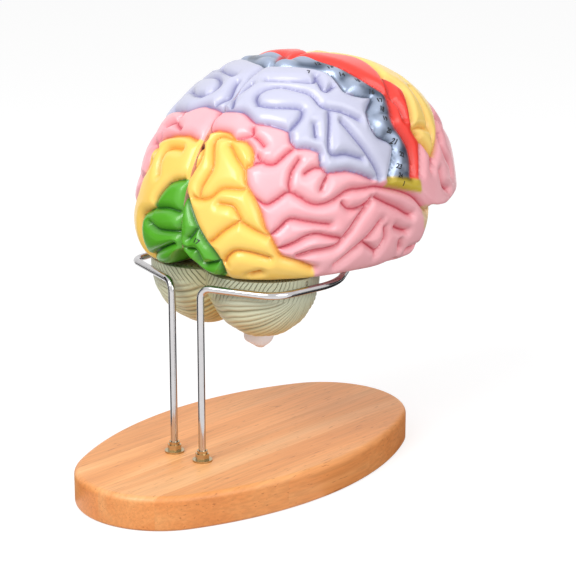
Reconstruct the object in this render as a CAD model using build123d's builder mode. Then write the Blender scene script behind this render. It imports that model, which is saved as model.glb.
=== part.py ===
"""Anatomical brain model on a stand, larger than life and taken apart at the middle.

Millimetres, +Z up. The origin is the centre of the board's underside, +X runs along the
board towards the brain's frontal lobes, +Y is the brain's left side.

A bent rod rises from the board, closes in a level ring round the cerebellum and carries
the brain. The two hemispheres slide sideways off two pegs in the brainstem's upper end.
"""
from build123d import *
from scipy.spatial import Delaunay
import math
import os

os.makedirs("parts", exist_ok=True)

# Board: an oval of two end arcs and two side arcs
BOARD_LENGTH = 340.0
BOARD_WIDTH = 193.0
BOARD_THICKNESS = 28.0
BOARD_END_RADIUS = 0.75 * BOARD_WIDTH / 2
BOARD_TOP_ROUND = 5.0
BOARD_BOTTOM_ROUND = 2.5

# Stand rod, one piece from foot to foot: corners of the ring from the right leg round to the
# left leg, and the radius of its bend at each; the left rear corner reaches further out
ROD_DIAMETER = 6.0
LEG_X = -70.3
LEG_Y = 16.0
ROD_FOOT_Z = 4.0
RING_HEIGHT = 173.0
ROD_BEND = 9.0
RING_RIGHT = [(-51.0, -79.0), (13.0, -87.0), (56.0, -62.0), (76.0, -20.0)]
RING_LEFT = [(76.0, 20.0), (57.0, 64.0), (15.0, 92.0), (-44.0, 88.0)]
RIGHT_BENDS = [22.0, 60.0, 40.0, 60.0]
LEFT_BENDS = [60.0, 40.0, 50.0, 16.0]

# Feet fasteners
WASHER_DIAMETER = 16.0
WASHER_THICKNESS = 1.5
NUT_ACROSS_FLATS = 10.0
NUT_HEIGHT = 5.0
CAP_DIAMETER = 8.6
CAP_HEIGHT = 2.6
COUNTERBORE_DIAMETER = 20.0
COUNTERBORE_DEPTH = 12.0
THREAD_CLEARANCE = 0.05
ROD_HOLE_CLEARANCE = 0.15

# Hemispheres: half of the gap at the midline, centre of the side form, reaches and width
MIDLINE_GAP = 0.25
FORM_X = 60.0
FORM_Z = RING_HEIGHT + 47.0
FRONT_REACH = 160.0
REAR_REACH = 139.0
TOP_REACH = 123.0
UNDER_REACH = 78.0
SIDE_WIDTH = 104.5
OUTLINE_SQUARENESS = 0.88
SIDE_FULLNESS = 0.72
FRONT_TAPER = 0.04
SAG = 4.6

# Underside: level at the rear, lower under the temporal lobes, high under the frontal
# lobes, and drawn up beside the midline at the rear
UNDERSIDE_REAR = RING_HEIGHT + 9.0
TEMPORAL_DROP = 5.5
TEMPORAL_X = 35.0
TEMPORAL_EASE = 10.0
FRONTAL_RISE = 41.5
FRONTAL_X = 112.0
FRONTAL_EASE = 2.5
CLEFT_RISE = 20.0
CLEFT_HALF_WIDTH = 17.0
CLEFT_X = -30.0
CLEFT_EASE = 9.0
UNDERSIDE_ROUND = 3.5

# Folds of the cortex and the rounding of the rim at the midline
FOLD_DEPTH = 6.2
FOLD_HALF_WIDTH = 8.5
VALLEY_RADIUS = 1.2
RIM_DEPTH = 4.5
RIM_HALF_WIDTH = 9.0

# Net of the folded skin, in hundredths of the side map
FURROW_STEP = 4.6
SHOULDER = 2.4
FOLD_STEP = 8.5
RIM_STEP = 6.2
RIM_SHOULDER = 97.5
NET_EDGE = 94.0

# Furrows as (forward, up) in hundredths of the side map, from its centre to the midline rim
SULCI = {
    "central": [(-14, 99), (0, 90), (4, 71), (11, 55), (8, 40), (12, 26), (10, 12)],
    "postcentral": [(-15, 88), (-8, 76), (-9, 62), (3, 54), (-4, 40), (4, 28), (0, 15)],
    "precentral": [(24, 88), (23, 79), (19, 67), (24, 55), (18, 36), (20, 30), (13, 12)],
    "motor_groove": [(18, 66), (13, 53), (14, 40)],
    "lateral": [(-7, 13), (1, 10), (10, 6), (14, 3)],
    "lateral_end": [(14, 3), (20, -3), (23, -12), (24, -24)],
    "lateral_branch": [(-7, 9), (-1, 5), (4, 2), (9, -1)],
    "parietal_hook": [(-50, 77), (-45, 81), (-36, 79), (-26, 66), (-24, 57), (-9, 44)],
    "parietal_tongue": [(-51, 73), (-46, 68), (-35, 61), (-38, 54), (-43, 51)],
    "parietal_top": [(-37, 87), (-29, 80), (-16, 78)],
    "parietal_rear": [(-61, 77), (-55, 83), (-44, 88)],
    "parietal_notch": [(-31, 49), (-32, 43)],
    "parietal_middle": [(-22, 53), (-27, 34), (-19, 30), (-12, 26)],
    "parietal_front": [(-18, 46), (-10, 29), (-5, 16)],
    "parietal_fork": [(-17, 77), (-19, 66), (-13, 67)],
    "intraparietal": [
        (-62, 75), (-57, 63), (-44, 51), (-42, 41), (-32, 35), (-32, 29), (-20, 23), (-8, 16),
    ],
    "angular_upper": [(-68, 57), (-61, 56), (-59, 60)],
    "angular_short": [(-60, 55), (-57, 48)],
    "angular_loop": [(-67, 40), (-57, 38), (-51, 38), (-44, 41)],
    "marginal": [(-69, 33), (-65, 23), (-60, 19), (-49, 22), (-34, 13), (-25, 13), (-7, 13)],
    "marginal_rise": [(-48, 22), (-46, 31), (-42, 35)],
    "marginal_short": [(-40, 28), (-32, 28)],
    "marginal_front": [(-33, 19), (-29, 24)],
    "marginal_low": [(-23, 11), (-15, 7), (-10, 8)],
    "temporal_upper": [(-9, 9), (-16, 3), (-26, -8), (-38, -9), (-45, -11)],
    "temporal_rear": [(-59, 4), (-49, 10), (-42, 8), (-29, 4)],
    "temporal_middle": [(-55, -4), (-42, 1), (-34, 1), (-24, -4)],
    "temporal_lower": [(-26, -22), (-18, -14), (-10, -7), (-4, 0)],
    "temporal_short": [(-12, -10), (-6, -18)],
    "temporal_front": [(-6, -20), (-2, -11), (-2, -4)],
    "temporal_pole": [(2, -5), (8, -10)],
    "temporal_tip": [(7, -22), (6, -16)],
    "frontal_first": [(17, 34), (24, 24), (26, 21)],
    "frontal_rise": [(34, 57), (33, 47), (30, 37), (30, 29), (26, 18)],
    "frontal_short": [(18, 34), (28, 34)],
    "frontal_upper": [(30, 72), (50, 62), (68, 50), (82, 36)],
    "frontal_middle": [(40, 40), (55, 33), (72, 28), (88, 14)],
    "frontal_lower": [(30, 12), (48, 14), (66, 8), (84, 0)],
    "frontal_cross": [(45, 82), (46, 66)],
    "frontal_link": [(58, 58), (54, 46), (57, 36)],
    "frontal_cheek": [(60, 30), (62, 12)],
    "orbital": [(40, -10), (58, -14), (76, -16)],
}
RIGHT_REAR_SULCI = {
    "occipital_edge": [
        (-79, 61), (-73, 65), (-63, 49), (-65, 40), (-69, 31), (-63, 16), (-57, 1), (-37, -22),
    ],
    "occipital_arch": [(-69, 57), (-77, 59), (-83, 44), (-92, 27)],
    "occipital_cross": [(-94, 27), (-87, 27), (-81, 31), (-70, 29)],
    "occipital_drop": [(-72, 54), (-69, 39), (-69, 32)],
    "occipital_inner": [(-82, 57), (-85, 51), (-91, 42)],
    "occipital_stem": [(-83, 23), (-77, 21), (-74, 13), (-82, 8), (-89, 1)],
    "occipital_limb": [(-74, 13), (-60, 4)],
    "occipital_low": [(-81, -17), (-80, -11), (-76, -5), (-59, -11)],
    "calcarine_edge": [(-96, 28), (-94, 8), (-88, -5), (-83, -18), (-78, -39)],
    "calcarine_notch": [(-98, 1), (-95, 8)],
    "calcarine_low": [(-98, -12), (-91, -24), (-83, -16)],
}
LEFT_REAR_SULCI = {
    "occipital_edge": [(-79, 59), (-70, 53), (-64, 45), (-66, 29), (-66, 16), (-57, 1), (-37, -22)],
    "occipital_arch": [(-80, 51), (-76, 48), (-76, 37), (-80, 32)],
    "calcarine_edge": [(-92, 37), (-87, 21), (-87, 14), (-78, 6), (-72, -8)],
    "calcarine_upper": [(-90, 14), (-98, 17)],
    "calcarine_cross": [(-84, 4), (-100, 4)],
    "calcarine_low": [(-75, -31), (-90, -18), (-98, -9)],
}

# Midline faces: grooves of the cingulate, corpus callosum, calcarine and parieto-occipital,
# each by three points as (forward, up) from the form's centre
MIDLINE_GROOVE = 4.0
MIDLINE_GROOVE_DEPTH = 3.0
MIDLINE_GROOVES = [
    [(-58.0, 42.0), (6.0, 83.0), (88.0, 30.0)],
    [(-52.0, 16.0), (2.0, 42.0), (58.0, 20.0)],
    [(-116.0, -2.0), (-92.0, 4.0), (-68.0, -6.0)],
    [(-106.0, 58.0), (-88.0, 36.0), (-78.0, 14.0)],
]

# Upper end of the brainstem, its pocket and the pegs
THALAMUS_X = 44.0
THALAMUS_Z = RING_HEIGHT + 25.0
THALAMUS_LENGTH = 48.0
THALAMUS_HEIGHT = 34.0
THALAMUS_HALF_WIDTH = 14.0
POCKET_CLEARANCE = 0.6
CHANNEL_CLEARANCE = 3.0
STEM_TOP_X = 38.0
STEM_TOP_RADIUS = 12.5
PEG_DIAMETER = 8.0
PEG_SPACING = 22.0
PEG_REACH = 28.0
PEG_HOLE_DEPTH = 30.0
PEG_FIT = 0.08
PEG_SEAT_FIT = 0.05

# Brainstem sections as (height from the ring, x, half length, half width): stub, medulla,
# pons and midbrain
STEM_SECTIONS = [
    (-68.0, 13.5, 7.0, 8.5),
    (-65.0, 14.0, 10.5, 12.0),
    (-59.0, 15.5, 12.0, 13.5),
    (-47.0, 19.0, 12.0, 13.5),
    (-36.0, 23.5, 15.0, 18.0),
    (-25.0, 28.0, 16.5, 20.5),
    (-14.0, 31.0, 14.5, 17.5),
    (-6.0, 33.0, 12.5, 13.5),
    (13.0, STEM_TOP_X, STEM_TOP_RADIUS, STEM_TOP_RADIUS),
]
STEM_CLEARANCE = 0.3

# Cerebellum: two rounded lobes that meet at the midline
LOBE_X = -12.0
LOBE_Y = 31.0
LOBE_Z = RING_HEIGHT + 4.0
LOBE_LENGTH = 45.0
LOBE_WIDTH = 48.0
LOBE_HEIGHT = 52.0
LOBE_COVER = 1.2
FOLIA = 15
FOLIA_DEPTH = 1.8
LOBE_STATIONS = 12
LOBE_NOTCH = 3.0
CEREBELLUM_PEG_DIAMETER = 6.0
CEREBELLUM_PEG_LENGTH = 30.0
CEREBELLUM_PEG_X = 28.0
CEREBELLUM_PEG_Z = RING_HEIGHT - 23.0


def side_form(forward, up):
    """Point and outward normal of the smooth side form at a place of the map.

    The map's radius turns into an angle from the side's fullest point (0) to the
    midline rim (a quarter turn), with powers of its sine and cosine for the fullness.
    """
    reach = math.hypot(forward, up)
    if reach < 1e-9:
        return (0.0, SIDE_WIDTH, 0.0), (0.0, 1.0, 0.0)
    angle = min(reach, 1.0) * math.pi / 2
    along = math.sin(angle) ** OUTLINE_SQUARENESS
    out = max(math.cos(angle), 0.0) ** SIDE_FULLNESS
    length = FRONT_REACH if forward > 0 else REAR_REACH
    height = TOP_REACH if up > 0 else UNDER_REACH
    x = length * along * forward / reach
    z = height * along * up / reach
    width = SIDE_WIDTH * (1 - FRONT_TAPER * x / 100)
    spread = (x / length) ** 2 + (z / height) ** 2
    lean = spread ** (1 / OUTLINE_SQUARENESS - 1) / OUTLINE_SQUARENESS
    normal = Vector(
        2 * lean * x / length ** 2,
        2 / SIDE_FULLNESS * out ** (2 / SIDE_FULLNESS - 1) / width,
        2 * lean * z / height ** 2,
    ).normalized()
    return (x, width * out, z), (normal.X, normal.Y, normal.Z)


def underside(x, y):
    """Lowest height that the hemisphere may have at a place over the board."""
    temporal = TEMPORAL_DROP / (1 + math.exp((TEMPORAL_X - x) / TEMPORAL_EASE))
    frontal = FRONTAL_RISE / (1 + math.exp((FRONTAL_X - x) / FRONTAL_EASE))
    cleft = CLEFT_RISE / (1 + math.exp((x - CLEFT_X) / CLEFT_EASE))
    return UNDERSIDE_REAR - temporal + frontal + cleft * math.exp(-(y / CLEFT_HALF_WIDTH) ** 2)


def distance_to(point, segment):
    """Distance from a point to one straight piece."""
    start, end = segment
    run = [e - s for s, e in zip(start, end)]
    rel = [p - s for s, p in zip(start, point)]
    square = sum(r * r for r in run)
    part = min(1.0, max(0.0, sum(a * b for a, b in zip(rel, run)) / square))
    return math.dist(rel, [part * r for r in run])


def furrow_lines(groups):
    """Every furrow as a chain of places in the map, about one step apart."""
    chains = []
    for furrows in groups:
        for line in furrows.values():
            chain = [line[0]]
            for start, end in zip(line, line[1:]):
                steps = max(1, round(math.dist(start, end) / FURROW_STEP))
                for step in range(1, steps + 1):
                    chain.append(tuple(s + (e - s) * step / steps for s, e in zip(start, end)))
            chains.append(chain)
    return chains


def is_clear(place, others, distance):
    """Whether a place keeps the distance from all the others."""
    return all(math.dist(place, other) > distance for other in others)


def shoulders(chain):
    """Places on both sides of a furrow, where its walls turn into the folds."""
    places = []
    for i, (forward, up) in enumerate(chain):
        before = chain[max(i - 1, 0)]
        after = chain[min(i + 1, len(chain) - 1)]
        run = math.dist(before, after)
        across = (SHOULDER * (after[1] - before[1]) / run, SHOULDER * (after[0] - before[0]) / run)
        places.append((forward + across[0], up - across[1]))
        places.append((forward - across[0], up + across[1]))
    return places


def skin_places(chains):
    """Places of the net: furrow bottoms, their shoulders, the folds between, and the rim."""
    segments = [pair for chain in chains for pair in zip(chain, chain[1:])]
    bottoms = []
    for chain in chains:
        for place in chain:
            if math.hypot(*place) < NET_EDGE and is_clear(place, bottoms, SHOULDER / 2):
                bottoms.append(place)
    tops = []
    for chain in chains:
        for place in shoulders(chain):
            apart = is_clear(place, tops, 0.85 * SHOULDER) and is_clear(place, bottoms, 0.85 * SHOULDER)
            if math.hypot(*place) < NET_EDGE and apart:
                tops.append(place)
    count = math.ceil(100 / FOLD_STEP)
    for row in range(-count, count + 1):
        for column in range(-count, count + 1):
            place = ((column + row % 2 / 2) * FOLD_STEP, row * FOLD_STEP * math.sqrt(3) / 2)
            near = min(distance_to(place, segment) for segment in segments)
            if math.hypot(*place) < NET_EDGE - SHOULDER and near > 1.9 * SHOULDER:
                tops.append(place)
    around = round(2 * math.pi * 100 / RIM_STEP)
    turns = [2 * math.pi * i / around for i in range(around)]
    inner = [(RIM_SHOULDER * math.cos(turn), RIM_SHOULDER * math.sin(turn)) for turn in turns]
    turns = [turn + math.pi / around for turn in turns]
    rim = [(100 * math.cos(turn), 100 * math.sin(turn)) for turn in turns]
    return bottoms + tops + inner, rim


def pillow(distance, half_width):
    """1 at a furrow's line, 0 from the half width on, by a quarter circle."""
    rise = min(1.0, distance / half_width)
    return 1 - math.sqrt(1 - (1 - rise) ** 2)


def cortex_point(place, segments, on_rim):
    """Point of the folded surface for a place of the map, before its side is chosen."""
    point, normal = side_form(place[0] / 100, place[1] / 100)
    near = min(distance_to(point, segment) for segment in segments)
    near = math.hypot(near, VALLEY_RADIUS) - VALLEY_RADIUS
    push = FOLD_DEPTH * pillow(near, FOLD_HALF_WIDTH) + RIM_DEPTH * pillow(point[1], RIM_HALF_WIDTH)
    x, y, z = (p - push * n for p, n in zip(point, normal))
    z += FORM_Z - SAG * (x / 100) ** 2
    x += FORM_X
    floor = underside(x, y)
    z = floor + UNDERSIDE_ROUND * math.log(1 + math.exp((z - floor) / UNDERSIDE_ROUND))
    return x, (0.0 if on_rim else max(y, 0.0)) + MIDLINE_GAP, z


def hemisphere_solid(side, groups):
    """Folded half brain: triangles along the furrows, closed by the flat midline face."""
    chains = furrow_lines(groups)
    places, rim = skin_places(chains)
    laid = [[side_form(a / 100, b / 100)[0] for a, b in chain] for chain in chains]
    segments = [pair for chain in laid for pair in zip(chain, chain[1:])]
    points = [cortex_point(place, segments, False) for place in places]
    points += [cortex_point(place, segments, True) for place in rim]
    points = [(round(x, 4), round(side * y, 4), round(z, 4)) for x, y, z in points]
    faces = []
    for trio in Delaunay(places + rim).simplices:
        corners = [points[i] for i in trio]
        faces.append(Face(Wire.make_polygon(corners[::-side])))
    midline_face = Face(Wire.make_polygon(points[len(places):]))
    return Solid(Shell([*faces, midline_face]))


def cut_midline(side):
    """Pocket for the brainstem's upper end, peg holes and grooves in the midline face."""
    face = Plane.XZ.offset(-side * MIDLINE_GAP)
    pocket_depth = THALAMUS_HALF_WIDTH + POCKET_CLEARANCE - MIDLINE_GAP
    with BuildSketch(face) as pocket:
        with Locations((THALAMUS_X, THALAMUS_Z)):
            Ellipse(THALAMUS_LENGTH / 2 + POCKET_CLEARANCE, THALAMUS_HEIGHT / 2 + POCKET_CLEARANCE)
        with Locations((STEM_TOP_X, THALAMUS_Z)):
            Rectangle(
                2 * (STEM_TOP_RADIUS + CHANNEL_CLEARANCE),
                2 * THALAMUS_HEIGHT,
                align=(Align.CENTER, Align.MAX),
            )
    extrude(pocket.sketch, amount=-side * pocket_depth, mode=Mode.SUBTRACT)
    with BuildSketch(face) as peg_holes:
        with Locations((THALAMUS_X, THALAMUS_Z)):
            with GridLocations(PEG_SPACING, 0, 2, 1):
                Circle(PEG_DIAMETER / 2 + PEG_FIT)
    extrude(peg_holes.sketch, amount=-side * (PEG_HOLE_DEPTH - MIDLINE_GAP), mode=Mode.SUBTRACT)
    with BuildSketch(face) as grooves:
        for trio in MIDLINE_GROOVES:
            arc = ThreePointArc(*[(FORM_X + forward, FORM_Z + up) for forward, up in trio])
            SlotArc(arc, MIDLINE_GROOVE)
    extrude(grooves.sketch, amount=-side * MIDLINE_GROOVE_DEPTH, mode=Mode.SUBTRACT)


def lobe_section(y):
    """Closed outline of the cerebellum at a distance y from the midline.

    The folia are ridges that run from one side to the other, so every section has the
    same count of crests and furrows, alternating round the outline. The top lies close
    under the hemispheres.
    """
    reach = math.sqrt(max(0.0, 1 - ((abs(y) - LOBE_Y) / LOBE_WIDTH) ** 2))
    points = []
    for i in range(2 * FOLIA):
        angle = math.pi * i / FOLIA
        crest_x = LOBE_X + LOBE_LENGTH * reach * math.cos(angle)
        crest_z = LOBE_Z + LOBE_HEIGHT * reach * math.sin(angle)
        top = underside(crest_x, SIDE_WIDTH) - LOBE_COVER
        depth = FOLIA_DEPTH * (i % 2) * min(1.0, reach * 2)
        if crest_z > top:
            depth = 0.0
        x = crest_x - depth * math.cos(angle)
        z = min(crest_z - depth * math.sin(angle), top)
        points.append((round(x, 4), round(y, 4), round(z, 4)))
    return [*points, points[0]]


def cerebellum_solid():
    """Triangles between the sections from the right tip to the left tip."""
    angles = [math.pi * i / LOBE_STATIONS - math.pi / 2 for i in range(1, LOBE_STATIONS)]
    right_side = [-LOBE_Y + LOBE_WIDTH * math.sin(angle) for angle in angles]
    stations = [y for y in right_side if y < -LOBE_NOTCH]
    stations = [*stations, 0.0, *[-y for y in reversed(stations)]]
    rows = [lobe_section(y) for y in stations]
    tip = (LOBE_X, LOBE_Y + LOBE_WIDTH, LOBE_Z)
    right_tip = (tip[0], -tip[1], tip[2])
    rows = [[right_tip] * len(rows[0]), *rows, [tip] * len(rows[0])]
    faces = []
    for lower, upper in zip(rows, rows[1:]):
        for i in range(len(lower) - 1):
            for trio in ((lower[i], upper[i], upper[i + 1]), (lower[i], upper[i + 1], lower[i + 1])):
                if len(set(trio)) == 3:
                    faces.append(Face(Wire.make_polygon(trio)))
    return Solid(Shell(faces))


# Board, with a stepped hole for each leg
half_length = BOARD_LENGTH / 2
half_width = BOARD_WIDTH / 2
end_centre = half_length - BOARD_END_RADIUS
chord_square = end_centre ** 2 + half_width ** 2 - BOARD_END_RADIUS ** 2
side_radius = chord_square / 2 / (half_width - BOARD_END_RADIUS)
side_centre = side_radius - half_width
join = math.degrees(math.atan2(side_centre, end_centre))
with BuildPart() as base_board:
    with BuildSketch():
        with BuildLine():
            CenterArc((end_centre, 0), BOARD_END_RADIUS, -join, 2 * join)
            CenterArc((0, -side_centre), side_radius, join, 180 - 2 * join)
            CenterArc((-end_centre, 0), BOARD_END_RADIUS, 180 - join, 2 * join)
            CenterArc((0, side_centre), side_radius, 180 + join, 180 - 2 * join)
        make_face()
    extrude(amount=BOARD_THICKNESS)
    fillet(base_board.edges().group_by(Axis.Z)[-1], BOARD_TOP_ROUND)
    fillet(base_board.edges().group_by(Axis.Z)[0], BOARD_BOTTOM_ROUND)
    with BuildSketch():
        with Locations((LEG_X, LEG_Y), (LEG_X, -LEG_Y)):
            Circle(ROD_DIAMETER / 2 + ROD_HOLE_CLEARANCE)
    extrude(amount=BOARD_THICKNESS, mode=Mode.SUBTRACT)
    with BuildSketch():
        with Locations((LEG_X, LEG_Y), (LEG_X, -LEG_Y)):
            Circle(COUNTERBORE_DIAMETER / 2)
    extrude(amount=COUNTERBORE_DEPTH, mode=Mode.SUBTRACT)
base_board.part.label = "base_board"
export_step(base_board.part, "parts/base_board.step")


# Stand rod: leg, bend, ring round the cerebellum, bend, leg
right_leg = [(LEG_X, -LEG_Y, ROD_FOOT_Z), (LEG_X, -LEG_Y, RING_HEIGHT)]
left_leg = [(LEG_X, LEG_Y, RING_HEIGHT), (LEG_X, LEG_Y, ROD_FOOT_Z)]
ring_corners = [(x, y, RING_HEIGHT) for x, y in RING_RIGHT + RING_LEFT]
bend_radii = [ROD_BEND, *RIGHT_BENDS, *LEFT_BENDS, ROD_BEND]
with BuildPart() as stand_wire:
    with BuildLine() as rod_path:
        FilletPolyline(*right_leg, *ring_corners, *left_leg, radius=bend_radii)
    with BuildSketch(Plane(right_leg[0])):
        Circle(ROD_DIAMETER / 2)
    sweep(path=rod_path.wires()[0])
stand_wire.part.label = "stand_wire"
export_step(stand_wire.part, "parts/stand_wire.step")


# Washers above the board and in the counterbores
with BuildPart() as rod_washers:
    for washer_z in (BOARD_THICKNESS, COUNTERBORE_DEPTH - WASHER_THICKNESS):
        with BuildSketch(Plane.XY.offset(washer_z)):
            with Locations((LEG_X, LEG_Y), (LEG_X, -LEG_Y)):
                Circle(WASHER_DIAMETER / 2)
                Circle(ROD_DIAMETER / 2 + THREAD_CLEARANCE, mode=Mode.SUBTRACT)
        extrude(amount=WASHER_THICKNESS)
rod_washers.part.label = "rod_washers"
export_step(rod_washers.part, "parts/rod_washers.step")


# Nuts on the washers and under them
with BuildPart() as rod_nuts:
    for nut_z in (BOARD_THICKNESS + WASHER_THICKNESS, COUNTERBORE_DEPTH - WASHER_THICKNESS - NUT_HEIGHT):
        with BuildSketch(Plane.XY.offset(nut_z)):
            with Locations((LEG_X, LEG_Y), (LEG_X, -LEG_Y)):
                RegularPolygon(NUT_ACROSS_FLATS / 2, 6, major_radius=False)
                Circle(ROD_DIAMETER / 2 + THREAD_CLEARANCE, mode=Mode.SUBTRACT)
        extrude(amount=NUT_HEIGHT)
rod_nuts.part.label = "rod_nuts"
export_step(rod_nuts.part, "parts/rod_nuts.step")


# Collars above the upper nuts
with BuildPart() as rod_collars:
    with BuildSketch(Plane.XY.offset(BOARD_THICKNESS + WASHER_THICKNESS + NUT_HEIGHT)):
        with Locations((LEG_X, LEG_Y), (LEG_X, -LEG_Y)):
            Circle(CAP_DIAMETER / 2)
            Circle(ROD_DIAMETER / 2 + THREAD_CLEARANCE, mode=Mode.SUBTRACT)
    extrude(amount=CAP_HEIGHT)
rod_collars.part.label = "rod_collars"
export_step(rod_collars.part, "parts/rod_collars.step")


# Hemispheres
with BuildPart() as right_hemisphere:
    add(hemisphere_solid(-1, [SULCI, RIGHT_REAR_SULCI]))
    cut_midline(-1)
right_hemisphere.part.label = "right_hemisphere"
export_step(right_hemisphere.part, "parts/right_hemisphere.step")

with BuildPart() as left_hemisphere:
    add(hemisphere_solid(1, [SULCI, LEFT_REAR_SULCI]))
    cut_midline(1)
left_hemisphere.part.label = "left_hemisphere"
export_step(left_hemisphere.part, "parts/left_hemisphere.step")


# Brainstem: medulla, pons and midbrain as one loft, with the thalamus block on top
with BuildPart() as brainstem:
    for height, x, length, width in STEM_SECTIONS:
        with BuildSketch(Plane((x, 0, RING_HEIGHT + height))):
            Ellipse(length, width)
    loft(ruled=True)
    with BuildSketch(Plane.XZ):
        with Locations((THALAMUS_X, THALAMUS_Z)):
            Ellipse(THALAMUS_LENGTH / 2, THALAMUS_HEIGHT / 2)
    extrude(amount=THALAMUS_HALF_WIDTH, both=True)
    with BuildSketch(Plane.XZ):
        with Locations((THALAMUS_X, THALAMUS_Z)):
            with GridLocations(PEG_SPACING, 0, 2, 1):
                Circle(PEG_DIAMETER / 2 + PEG_SEAT_FIT)
    extrude(amount=THALAMUS_HALF_WIDTH, both=True, mode=Mode.SUBTRACT)
    with BuildSketch(Plane.YZ.offset(CEREBELLUM_PEG_X)):
        with Locations((0, CEREBELLUM_PEG_Z)):
            Circle(CEREBELLUM_PEG_DIAMETER / 2 + PEG_SEAT_FIT)
    extrude(amount=-CEREBELLUM_PEG_LENGTH, mode=Mode.SUBTRACT)
brainstem.part.label = "brainstem"
export_step(brainstem.part, "parts/brainstem.step")


# Pegs: two across the thalamus for the hemispheres, one back into the cerebellum
with BuildPart() as hemisphere_pegs:
    with BuildSketch(Plane.XZ):
        with Locations((THALAMUS_X, THALAMUS_Z)):
            with GridLocations(PEG_SPACING, 0, 2, 1):
                Circle(PEG_DIAMETER / 2)
    extrude(amount=PEG_REACH, both=True)
hemisphere_pegs.part.label = "hemisphere_pegs"
export_step(hemisphere_pegs.part, "parts/hemisphere_pegs.step")

with BuildPart() as cerebellum_peg:
    with BuildSketch(Plane.YZ.offset(CEREBELLUM_PEG_X)):
        with Locations((0, CEREBELLUM_PEG_Z)):
            Circle(CEREBELLUM_PEG_DIAMETER / 2)
    extrude(amount=-CEREBELLUM_PEG_LENGTH)
cerebellum_peg.part.label = "cerebellum_peg"
export_step(cerebellum_peg.part, "parts/cerebellum_peg.step")


# Cerebellum, hollowed for the brainstem and its peg
with BuildPart() as cerebellum:
    add(cerebellum_solid())
    for height, x, length, width in STEM_SECTIONS:
        with BuildSketch(Plane((x, 0, RING_HEIGHT + height))):
            Ellipse(length + STEM_CLEARANCE, width + STEM_CLEARANCE)
    loft(ruled=True, mode=Mode.SUBTRACT)
    with BuildSketch(Plane.YZ.offset(CEREBELLUM_PEG_X)):
        with Locations((0, CEREBELLUM_PEG_Z)):
            Circle(CEREBELLUM_PEG_DIAMETER / 2 + PEG_SEAT_FIT)
    extrude(amount=-CEREBELLUM_PEG_LENGTH - 1, mode=Mode.SUBTRACT)
cerebellum.part.label = "cerebellum"
export_step(cerebellum.part, "parts/cerebellum.step")
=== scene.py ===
import math

import bmesh
import bpy
import numpy as np
from mathutils import Matrix, Vector


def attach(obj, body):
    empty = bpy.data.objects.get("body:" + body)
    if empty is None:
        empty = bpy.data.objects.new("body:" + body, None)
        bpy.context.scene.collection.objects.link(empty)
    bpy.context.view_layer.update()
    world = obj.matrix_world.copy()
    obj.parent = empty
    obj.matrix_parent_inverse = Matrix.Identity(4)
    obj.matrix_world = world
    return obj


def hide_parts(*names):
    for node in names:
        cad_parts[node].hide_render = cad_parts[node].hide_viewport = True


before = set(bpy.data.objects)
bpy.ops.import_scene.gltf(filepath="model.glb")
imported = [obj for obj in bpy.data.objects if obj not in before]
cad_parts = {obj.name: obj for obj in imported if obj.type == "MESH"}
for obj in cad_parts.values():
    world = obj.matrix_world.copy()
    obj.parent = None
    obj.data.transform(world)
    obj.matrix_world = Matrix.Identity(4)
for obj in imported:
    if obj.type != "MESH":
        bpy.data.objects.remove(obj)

# Anatomical brain model on a ring stand: moulded and painted surfaces, wood, metal, studio.
# Lengths in the tables are millimetres, and MM turns them into metres.

MM = 0.001
RIGHT, LEFT = -1, 1
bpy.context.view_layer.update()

# Smooth side form of a hemisphere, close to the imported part's
MIDLINE_GAP = 0.25
FORM_X, FORM_Z = 60.0, 220.0
FRONT_REACH, REAR_REACH = 160.0, 139.0
TOP_REACH, UNDER_REACH = 123.0, 78.0
SIDE_WIDTH = 104.5
OUTLINE_SQUARENESS, SIDE_FULLNESS = 0.88, 0.72
FRONT_TAPER = 0.04
SAG = 4.6
UNDERSIDE_REAR = 182.0
TEMPORAL_DROP, TEMPORAL_X, TEMPORAL_EASE = 3.0, 35.0, 10.0
FRONTAL_RISE, FRONTAL_X, FRONTAL_EASE = 41.5, 112.0, 2.5
CLEFT_RISE, CLEFT_HALF_WIDTH, CLEFT_X, CLEFT_EASE = 20.0, 17.0, -30.0, 9.0
BELLY_DROP, BELLY_X, BELLY_LENGTH = 4.5, 150.0, 22.0
TIP_RISE, TIP_ROUND, TIP_X, TIP_LENGTH = 6.0, 9.0, 168.0, 48.0
UNDERSIDE_ROUND, UNDERSIDE_FOLD = 3.5, 4.5

# Moulded folds
FOLD_DEPTH, FOLD_HALF_WIDTH = 6.7, 8.5
VALLEY_RADIUS, VALLEY_FLOOR = 1.2, 0.35
RIM_DEPTH, RIM_HALF_WIDTH = 4.5, 9.0
UNEVENNESS = 0.35
CROWN_SWELLING = 4.6
CROWN_FORWARD, CROWN_UP = 0.45, 0.65
CROWN_LENGTH, CROWN_HEIGHT = 0.45, 0.5

# Nets: steps of the halves' maps, how near to a furrow a net point is laid on it, where the
# rim starts, and how small a triangle may be against the other cut's
CORTEX_STEPS, MIDLINE_STEPS = 316, 150
SNAP_SHARE, SNAP_REACH = 0.46, 0.985
RIM_START = 0.99999
LEAST_SHARE = 0.15

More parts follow.
